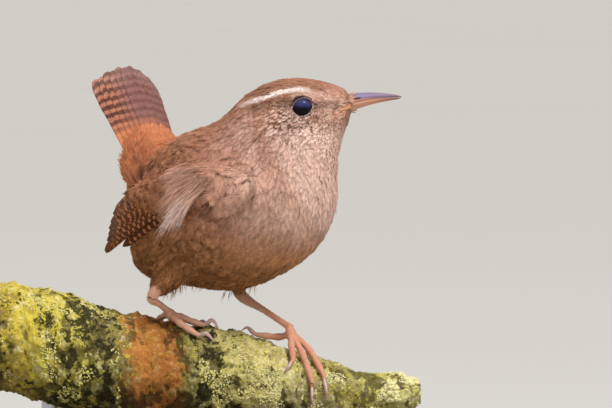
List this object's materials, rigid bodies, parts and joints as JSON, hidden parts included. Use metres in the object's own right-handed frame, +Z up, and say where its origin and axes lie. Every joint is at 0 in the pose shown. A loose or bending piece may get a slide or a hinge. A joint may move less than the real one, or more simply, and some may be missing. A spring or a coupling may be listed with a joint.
{
  "type": "wren",
  "caption": "Still life-size model of a Eurasian wren with a cocked tail, gripping a short length of branch held on a plain display stand.",
  "frame": {"origin": "middle of the flat underside of the stand's base", "axes": "+X along the branch towards the bird's bill, -Y towards the bird's right wing, +Z up"},
  "size_m": [0.112, 0.06, 0.1032],
  "materials": {
    "plumage_brown": "soft feathers, warm brown with fine dusky bars",
    "plumage_breast": "soft feathers, pinkish buff with dusky bars on the flanks",
    "plumage_wing": "flight feathers, dark brown with rusty and buff bars",
    "plumage_tail": "flight feathers, rufous with dark bars",
    "eye": "very dark brown, wet and glossy",
    "bill_horn": "satin horn, grey-brown above and orange-pink below",
    "leg_skin": "pinkish-brown scaly skin",
    "claw_horn": "pale pinkish horn",
    "bark": "brown bark covered in yellow-green and pale lichen",
    "stand_wood": "dark satin wood",
    "stand_steel": "brushed"
  },
  "bodies": {
    "root": {"head": "plumage_brown", "neck": "plumage_brown", "torso": "plumage_breast", "tail": "plumage_tail", "wing_left": "plumage_wing", "wing_right": "plumage_wing", "eye_left": "eye", "eye_right": "eye", "bill_upper": "bill_horn", "bill_lower": "bill_horn", "thigh_left": "plumage_breast", "thigh_right": "plumage_breast", "tarsus_left": "leg_skin", "tarsus_right": "leg_skin", "foot_left": "leg_skin", "foot_right": "leg_skin", "claw_left_hind": "claw_horn", "claw_left_inner": "claw_horn", "claw_left_middle": "claw_horn", "claw_left_outer": "claw_horn", "claw_right_hind": "claw_horn", "claw_right_inner": "claw_horn", "claw_right_middle": "claw_horn", "claw_right_outer": "claw_horn", "perch_branch": "bark", "stand_base": "stand_wood", "stand_rod_left": "stand_steel", "stand_rod_right": "stand_steel"}
  },
  "joints": []
}
